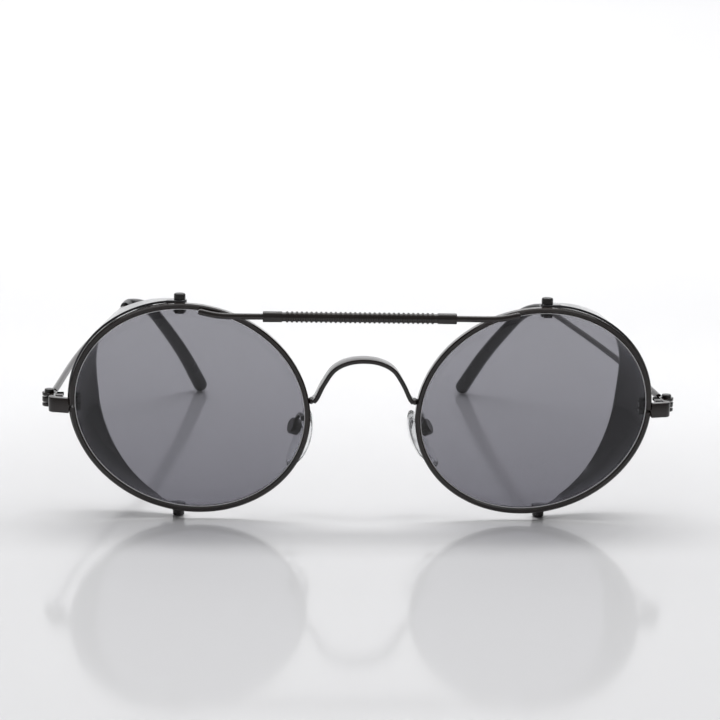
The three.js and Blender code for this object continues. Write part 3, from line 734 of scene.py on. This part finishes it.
def makeSleeve():
    shoulder = sleeve["half"] - sleeve["collar"]
    lying = Matrix.Rotation(math.pi / 2, 4, "Y")
    shells = []
    for low in (-sleeve["half"], shoulder):
        profile = roundedProfile(sleeve["collarRadius"], low, low + sleeve["collar"], sleeve["edge"])
        shells.append(turned("collar", profile, frameBlack, lying))
    end = shoulder + sleeve["coreTuck"]
    profile = roundedProfile(sleeve["core"], -end, end, sleeve["coreEdge"])
    shells.append(turned("core", profile, frameBlack, lying))
    body = fused("ribbed_sleeve", shells)
    pitch = 2 * shoulder / (sleeve["ribs"] + 1)
    settings = {
        "Ribs": sleeve["ribs"], "Pitch": pitch * mm, "First": (pitch - shoulder) * mm,
        "Ring Radius": (sleeve["radius"] - sleeve["bead"]) * mm, "Bead Radius": sleeve["bead"] * mm,
        "Material": frameBlack,
    }
    piece = grow(body, ribs, settings, "ribbed_sleeve")
    piece.data.transform(Matrix.Translation(middle("brow_sleeve") * mm))
    settle(piece, "front", "sleeve_metal", "brow_sleeve", sharp=50)


makeBridge()
makeBrowBar()
makeSleeve()
print("bridge, bar and sleeve made")


endPiece = {"thickness": 1.4, "sweep": 0.7, "corner": 1.6, "inset": 0.8, "edge": 0.16, "tuck": 0.25}


def makeEndPiece(tag, side):
    low, high = corner("end_piece_R"), corner("end_piece_R", True)
    front = low.y + endPiece["sweep"]
    leg = high.x - endPiece["thickness"]
    back = front + endPiece["thickness"]
    bend, inset = endPiece["corner"], endPiece["inset"]
    outline = [(low.x - endPiece["tuck"], low.y)]
    outline += quarter((high.x - bend, front + bend), bend, -90)
    outline += [(high.x, high.y), (leg, high.y)]
    outline += reversed(quarter((leg - inset, back + inset), inset, -90))
    outline.append((low.x - endPiece["tuck"], low.y + endPiece["thickness"]))
    outline = [(side * x, y) for x, y in outline]
    strip = plate("strip", outline, low.z, high.z, frameBlack, endPiece["edge"])
    settle(fused("end_lug_" + tag, [strip]), "front", "frame_metal", "end_piece_" + tag)


hinge = {"radius": 1.5, "leaf": 0.65, "gap": 0.3, "web": 0.5, "tail": 0.72, "overlap": 0.05,
         "leafEdge": 0.12, "armEdge": 0.06, "knuckleEdge": 0.1, "tongueEdge": 0.14, "tongueGap": 0.1}


def makeFrontHinge(tag, side):  # leaf inside the end piece with two knuckles
    axis = middle("hinge_screw_R")
    low, high = corner("front_hinge_R"), corner("front_hinge_R", True)
    endBack = corner("end_piece_R", True)
    plateOut = endBack.x - endPiece["thickness"] + hinge["overlap"]
    plateBack = axis.y - hinge["radius"] - hinge["gap"]
    shells = [block("leaf", side, low, (plateOut, plateBack, high.z), hinge["leafEdge"])]
    for bottom, top in ((low.z, low.z + hinge["leaf"]), (high.z - hinge["leaf"], high.z)):
        armLow = (low.x, plateBack - hinge["web"], bottom)
        reachLow = (low.x, endBack.y + hinge["gap"] / 2, bottom)
        shells += [
            disc("knuckle", side * axis.x, axis.y, hinge["radius"], bottom, top, hinge["knuckleEdge"]),
            block("arm", side, armLow, (plateOut, axis.y, top), hinge["armEdge"]),
            block("reach", side, reachLow, (axis.x, axis.y, top), hinge["armEdge"]),
        ]
    settle(fused("hinge_leaf_" + tag, shells), "front", "frame_metal", "front_hinge_" + tag)


def makeTempleHinge(tag, side):  # middle knuckle with a tongue that holds the wire
    axis = middle("hinge_screw_R")
    low, high = corner("temple_hinge_R").z, corner("temple_hinge_R", True).z
    start = templePath()[0]
    ahead = Vector((start.x, start.y, 0)).normalized()
    wide = Vector((ahead.y, -ahead.x, 0)) * hinge["tail"]
    far = ahead * (start.length - hinge["tongueGap"])
    outline = [(side * (axis.x + p.x), axis.y + p.y) for p in (wide, wide + far, far - wide, -wide)]
    knuckle = disc("knuckle", side * axis.x, axis.y, hinge["radius"], low, high, hinge["knuckleEdge"])
    tongue = plate("tongue", outline, low, high, frameBlack, hinge["tongueEdge"])
    piece = fused("temple_leaf_" + tag, [knuckle, tongue])
    settle(piece, "temple_arm_" + tag, "frame_metal", "temple_hinge_" + tag)


clamp = {"reach": 0.2, "edge": 0.14}


def makeClamps(tag, side):  # two halves of the block that closes the rim
    for name in ("closing_block_top_", "closing_block_bottom_"):
        low, high = corner(name + "R"), corner(name + "R", True)
        half = block("clamp", side, (low.x, low.y - clamp["reach"], low.z), high, clamp["edge"])
        piece = fused(name.replace("closing_block", "rim_clamp") + tag, [half])
        settle(piece, "front", "frame_metal", name + tag)


temple = {"radius": 0.7, "start": 5.2, "bow": (-3.7, 40.0, 1.84), "bendStart": (-10.6, 81.0, 3.72),
          "bend": [(-12.8, 88.0, 4.0), (-16.6, 94.2, 1.7), (-20.4, 99.4, -3.8), (-25.4, 106.4, -12.8)],
          "tip": (-30.3, 113.6, -23.7), "perStretch": 24,
          "short": 4, "steps": 160}  # the wire ends short of the tip
sock = {"mouth": 1.2, "radius": 1.3, "tipRadius": 1.85, "length": 47.0, "taper": 2.2, "steps": 90,
        "sides": 32, "tipTurns": range(8, 89, 8)}  # tip turns in degrees round the closed end


def templePath():  # from the hinge axis to the ear tip
    start = Vector(temple["bow"]).normalized() * temple["start"]
    line = [start, temple["bow"], temple["bendStart"], *temple["bend"], temple["tip"]]
    return smoothPath(line, temple["perStretch"])


def makeTemple(tag, side, path, lengths):
    end = lengths[-1] - temple["short"]
    wire = [pointAt(path, lengths, end * i / temple["steps"]) for i in range(temple["steps"] + 1)]
    piece = wirePiece("temple_wire_" + tag, flip(wire, side), temple["radius"], frameBlack)
    settle(piece, "temple_arm_" + tag, "frame_metal", "temple_" + tag)


def makeEarSock(tag, side, path, lengths):
    first = lengths[-1] - sock["length"]
    shoulder = lengths[-1] - sock["tipRadius"]
    stations, radii = [], []
    for step in range(sock["steps"] + 1):
        distance = first + (shoulder - first) * step / sock["steps"]
        opening = math.sin(min((distance - first) / sock["taper"], 1) * math.pi / 2)
        full = sock["radius"] + (sock["tipRadius"] - sock["radius"]) * step / sock["steps"]
        stations.append(distance)
        radii.append(sock["mouth"] + (full - sock["mouth"]) * opening)
    for turn in sock["tipTurns"]:
        stations.append(shoulder + sock["tipRadius"] * math.sin(math.radians(turn)))
        radii.append(sock["tipRadius"] * math.cos(math.radians(turn)))
    cover = [pointAt(path, lengths, distance) for distance in stations]
    piece = wirePiece("ear_tip_" + tag, flip(cover, side), 1.0, sockBlack, sock["sides"], radii)
    settle(piece, "temple_arm_" + tag, "sock_plastic", "ear_sock_" + tag)


for tag, side in sides.items():
    makeEndPiece(tag, side)
    makeFrontHinge(tag, side)
    makeTempleHinge(tag, side)
    makeClamps(tag, side)
    pivot = Vector((middle("hinge_screw_R").x, middle("hinge_screw_R").y, middle("temple_hinge_R").z))
    path = [pivot + p for p in templePath()]
    lengths = runLengths(path)
    makeTemple(tag, side, path, lengths)
    makeEarSock(tag, side, path, lengths)
print("end pieces, hinges and temples made")


shield = {"thickness": 0.5, "depth": 11.6, "endDepth": 2.9, "reach": 78, "flare": 0.02, "curl": 1.6,
          "blend": 10, "front": 1.4, "columns": 120, "rows": 18, "edgeShare": 0.015,
          "edgeSteps": 4}  # every reach and blend is in degrees round the lens
upperWall = {"rear": 1.02, "lean": 0.21, "leanReach": 56, "leanPower": 2, "end": 1.018}
lowerWall = {"rear": 1.0, "lean": 0.19, "leanReach": 80, "leanPower": 1.5, "end": 1.017}
eye = {"radius": 1.5, "depth": 1.44, "reach": 2.7, "half": 1.4, "top": 0.9, "bottom": 0.65, "edge": 0.1,
       "steps": 16}  # top and bottom are the thicknesses of the two eyes


def rimReach(angle):  # from the lens centre to the outside of the rim
    away = angle - math.radians(rim["tilt"])
    length = rim["halfLength"] + rim["width"] / 2
    height = rim["halfHeight"] + rim["width"] / 2
    return 1 / math.hypot(math.cos(away) / length, math.sin(away) / height)


def smoothStep(t):
    t = min(max(t, 0), 1)
    return t * t * (3 - 2 * t)


def wallPoint(angle, back, inset):  # back runs from 0 at the rim to 1 at the rear edge
    reach = math.radians(shield["reach"])
    level = math.cos(angle / reach * math.pi / 2)
    depth = shield["endDepth"] + (shield["depth"] - shield["endDepth"]) * level
    half = upperWall if angle > 0 else lowerWall
    nearHinge = min(abs(angle) / math.radians(half["leanReach"]), 1) * math.pi / 2
    rear = half["rear"] - half["lean"] * max(math.cos(nearHinge), 0) ** half["leanPower"]
    curve = back ** shield["curl"]
    free = (1 + shield["flare"]) * (1 - curve) + rear * curve
    blend = math.radians(shield["blend"])
    strap = smoothStep((abs(angle) - (reach - blend)) / blend)
    radius = rimReach(angle) * (free * (1 - strap) + half["end"] * strap) - inset
    deep = facePlane + shield["front"] + depth * back
    return lensCentre.x + radius * math.cos(angle), deep, lensCentre.z + radius * math.sin(angle)


def wallSection(angle):  # round the sheet once: outside, rear edge, inside, front edge
    half, edge = shield["thickness"] / 2, shield["edgeShare"]
    backs = [edge + (1 - 2 * edge) * row / shield["rows"] for row in range(shield["rows"] + 1)]
    turns = [step / shield["edgeSteps"] * math.pi for step in range(1, shield["edgeSteps"])]
    bulge = [(edge * math.sin(turn), half * math.cos(turn)) for turn in turns]
    section = [wallPoint(angle, back, 0) for back in backs]
    section += [wallPoint(angle, 1 - edge + along, half - deep) for along, deep in bulge]
    section += [wallPoint(angle, back, 2 * half) for back in reversed(backs)]
    section += [wallPoint(angle, edge - along, half + deep) for along, deep in bulge]
    return section


def eyePlate(side, bottom, top):  # round end on the pivot, straight sides towards the wall
    axis = middle("top_pivot_screw_R")
    turns = [math.pi / 2 + step / eye["steps"] * math.pi for step in range(eye["steps"] + 1)]
    outline = [(eye["radius"] * math.cos(t), eye["depth"] * math.sin(t)) for t in turns]
    outline += [(eye["reach"], -eye["half"]), (eye["reach"], eye["half"])]
    outline = [(side * (axis.x + x), axis.y + y) for x, y in outline]
    return plate("eye", outline, bottom, top, shieldBlack, eye["edge"])


def makeShield(tag, side):
    reach = math.radians(shield["reach"])
    angles = [reach * (1 - 2 * column / shield["columns"]) for column in range(shield["columns"] + 1)]
    sections = [wallSection(angle) for angle in angles]
    points = flip([p for section in sections for p in section], side)
    wall = meshPiece("wall", points, tubeFaces(len(sections), len(sections[0])), shieldBlack)
    low, high = corner("side_shield_R").z, corner("side_shield_R", True).z
    eyes = [eyePlate(side, high - eye["top"], high), eyePlate(side, low, low + eye["bottom"])]
    piece = fused("shield_plate_" + tag, [wall, *eyes])
    settle(piece, "shield_" + tag, "shield_metal", "side_shield_" + tag, sharp=40)


for tag, side in sides.items():
    makeShield(tag, side)
print("side shields made")


screwKinds = [  # head is radius and height, down puts the head below
    {"name": "top_shield_screws", "node": "top_pivot_screw",
     "head": (1.2, 1.35), "shank": 0.5, "slot": 0.35, "down": False},
    {"name": "bottom_shield_screws", "node": "bottom_pivot_screw",
     "head": (1.2, 1.0), "shank": 0.5, "slot": 0.35, "down": True},
    {"name": "hinge_screws", "node": "hinge_screw",
     "head": (1.0, 0.65), "shank": 0.5, "slot": 0.28, "down": False},
    {"name": "rim_clamp_screws", "node": "rim_screw",
     "head": (0.72, 0.5), "shank": 0.4, "slot": 0.22, "down": False},
]
# crown, dip and slotDepth are shares of the head's height, rise of its crown, flat and middle of its radius
screwHead = {"crown": 0.3, "rise": 0.86, "dip": 0.02, "slotDepth": 0.45, "flat": 0.62, "middle": 0.3,
             "under": 0.02, "softness": 0.06, "steps": 6, "turn": 0.6}
shankTip = {"share": 0.8, "length": 0.15}


def screwBody(name, headRadius, headHeight, shank, length):  # head on top, its crown at height 0
    edge = headHeight * screwHead["crown"]
    soft, flat = screwHead["softness"], screwHead["flat"]
    profile = [
        (0, -length), (shank * shankTip["share"], -length), (shank, -length + shankTip["length"]),
        (shank, -headHeight), (headRadius - soft, -headHeight), (headRadius, -headHeight + soft),
        (headRadius, -edge - screwHead["under"]),
    ]
    for step in range(1, screwHead["steps"] + 1):
        angle = step / screwHead["steps"] * math.pi / 2
        radius = headRadius * (flat + (1 - flat) * math.cos(angle))
        profile.append((radius, -edge + edge * math.sin(angle) * screwHead["rise"]))
    profile += [(headRadius * screwHead["middle"], -screwHead["dip"] * headHeight), (0, 0)]
    return turned(name, profile, screwBlack)


def makeScrews():
    for kind in screwKinds:
        node, down = kind["node"], kind["down"]
        headRadius, headHeight = kind["head"]
        low, high = corner(node + "_R"), corner(node + "_R", True)
        body = screwBody(kind["name"], headRadius, headHeight, kind["shank"], high.z - low.z)
        settings = {
            "Slot Width": kind["slot"] * mm, "Slot Depth": headHeight * screwHead["slotDepth"] * mm,
            "Head Top": 0.0, "Head Radius": headRadius * mm,
            "Out": middle(node + "_R").x * mm, "Back": middle(node + "_R").y * mm,
            "Up": (low.z if down else high.z) * mm,
            "Turn": (math.pi if down else 0.0, 0.0, screwHead["turn"]), "Material": screwBlack,
        }
        piece = grow(body, screws, settings, kind["name"])
        settle(piece, "front", "screw_steel", node + "_L", node + "_R", sharp=30)


lug = {"edge": 0.14, "footEdge": 0.12, "footHalf": 0.9, "footTuck": 0.35}


def makeLugs(tag, side):  # round boss on a foot that meets the rim
    axis = middle("top_pivot_screw_R")
    for name in ("top_lug_", "bottom_lug_"):
        low, high = corner(name + "R"), corner(name + "R", True)
        boss = disc("boss", side * axis.x, axis.y, high.x - axis.x, low.z, high.z, lug["edge"])
        footLow = (axis.x - lug["footHalf"], low.y - lug["footTuck"], low.z)
        foot = block("foot", side, footLow, (axis.x + lug["footHalf"], axis.y, high.z), lug["footEdge"])
        piece = fused(name.replace("lug", "shield_lug") + tag, [boss, foot])
        settle(piece, "front", "frame_metal", name + tag)


makeScrews()
for tag, side in sides.items():
    makeLugs(tag, side)
print("screws and lugs made")


pad = {"lean": {-1: 18, 1: 28}, "splay": 18, "length": 13.2, "width": 6.6, "thickness": 1.9, "bow": 1.1,
       "drop": 1.9, "offset": 2.65, "narrow": 0.16, "edge": 0.72, "roll": 0.98,
       "layers": 16, "points": 64}  # lean of each side and splay in degrees
padBoss = {"radius": 0.75, "end": 0.2, "edge": 0.15, "around": 32}
padBox = {"radius": 1.75, "depth": 1.9, "wall": 0.35, "back": 0.35, "lip": 0.08, "lipDrop": 0.05,
          "dome": [(0, 0.3), (0.08, 0.12), (0.28, 0)]}  # the dome's steps, in from the side and down
padArm = {"radius": 0.45, "start": (12.3, 0.9, 21.5), "bend": [(12.7, 3.4, 21.7), (13.0, 5.2, 21.3)],
          "tuck": 0.1, "sides": 20, "steps": 14}


def padPlace(side):  # X points away from the nose, Z up along the pad
    joint = [j for j in frame["joints"] if j["name"] == "pad_rock_R"][0]
    centre = Vector(joint["pos_m"])
    centre.x *= side
    lean, splay = math.radians(pad["lean"][side]), math.radians(pad["splay"])
    turn = Euler((0, -side * lean, -side * splay), "XYZ").to_matrix().to_4x4()
    return Matrix.Translation(centre) @ turn


def lyingPlace(side):  # a turned shape's axis laid across the pad
    return padPlace(side) @ Matrix.Rotation(side * math.pi / 2, 4, "Y")


def padCushion(side):  # bowed drop-shaped cushion, narrower towards the top
    half = pad["length"] / 2
    points = []
    for layer in range(pad["layers"] + 1):
        turn = (layer / pad["layers"] - 0.5) * math.pi * pad["roll"]
        scale = pad["edge"] + (1 - pad["edge"]) * math.cos(turn)
        flat = pad["thickness"] / 2 * math.sin(turn) - pad["offset"]
        for step in range(pad["points"]):
            angle = step / pad["points"] * 2 * math.pi
            width = pad["width"] / 2 * scale * (1 - pad["narrow"] * math.sin(angle)) * math.cos(angle)
            along = half * scale * math.sin(angle)
            out = flat + pad["bow"] * (along / half) ** 2
            points.append((side * out, width, along - pad["drop"]))
    faces = tubeFaces(pad["layers"] + 1, pad["points"])
    return meshPiece("cushion", points, faces, padClear, padPlace(side))


def makePad(tag, side):
    low = pad["thickness"] / 4 - pad["offset"]
    profile = roundedProfile(padBoss["radius"], low, padBoss["end"], padBoss["edge"])
    boss = turned("boss", profile, padClear, lyingPlace(side), padBoss["around"])
    piece = fused("nose_cushion_" + tag, [padCushion(side), boss])
    settle(piece, "pad_" + tag, "pad_silicone", "nose_pad_" + tag)


def makePadBox(tag, side):  # round cup, open towards the pad
    deep, radius, lip = padBox["depth"] / 2, padBox["radius"], padBox["lip"]
    inner = radius - padBox["wall"]
    floor = deep - padBox["back"]
    profile = [(0, floor), (inner, floor), (inner, -deep + padBox["lipDrop"]), (inner + lip, -deep),
               (radius - lip, -deep), (radius, -deep + lip)]
    profile += [(radius - inward, deep - down) for inward, down in padBox["dome"]]
    profile.append((0, deep))
    cup = turned("pad_cup_" + tag, profile, frameBlack, lyingPlace(side))
    settle(cup, "front", "frame_metal", "pad_box_" + tag, sharp=30)


def makePadArm(tag, side):
    place = padPlace(side)
    rise = Vector((0, 0, padBox["radius"] - padArm["tuck"]))
    top = place.to_translation() / mm + place.to_3x3() @ rise
    line = [Vector((side * x, facePlane + y, z)) for x, y, z in (padArm["start"], *padArm["bend"])]
    path = smoothPath([*line, top], padArm["steps"])
    piece = wirePiece("pad_wire_" + tag, path, padArm["radius"], frameBlack, padArm["sides"])
    settle(piece, "front", "frame_metal", "pad_arm_" + tag)


def finishPadPin(tag):  # the pin keeps its shape and takes the screws' finish
    materials = frame["nodes"]["pad_pin_" + tag].data.materials
    materials.clear()
    materials.append(screwBlack)


for tag, side in sides.items():
    makePad(tag, side)
    makePadBox(tag, side)
    makePadArm(tag, side)
    finishPadPin(tag)
print("nose pads made")


solder = [  # at is across, back from the face plane and up, on the right
    {"at": (10.75, 0.4, 25.5), "size": (0.7, 1.3, 0.75)},  # bridge
    {"at": (60.75, -0.1, 24.15), "size": (0.6, 0.75, 1.35)},  # end piece
    {"at": (38.1, 1.15, 44.1), "size": (1.1, 0.5, 0.6)},  # upper lug
    {"at": (38.1, 1.15, 1.9), "size": (1.1, 0.5, 0.35)},  # lower lug
    {"at": (12.3, 1.1, 21.5), "size": (0.6, 0.45, 0.65)},  # pad arm
]
barSolder = {"reach": 30.5, "back": -1.15, "up": 43.9, "size": (1.6, 0.5, 0.45)}  # follows the bar
ball = [(math.cos(math.radians(v)), math.sin(math.radians(v))) for v in range(-90, 91, 12)]
beadPoints = 24


def makeSolder():  # beads where the parts of the frame are joined
    beads = []
    for side in sides.values():
        barAt = (barSolder["reach"] + side * middle("brow_bar").x, barSolder["back"], barSolder["up"])
        for joint in [*solder, {"at": barAt, "size": barSolder["size"]}]:
            x, y, z = joint["at"]
            place = Matrix.Translation(Vector((side * x, facePlane + y, z)) * mm)
            size = Matrix.Diagonal((*joint["size"], 1))
            beads.append(turned("bead", ball, frameBlack, place @ size, beadPoints))
    settle(fused("solder_joints", beads), "front", "frame_metal")


makeSolder()
print("solder made")
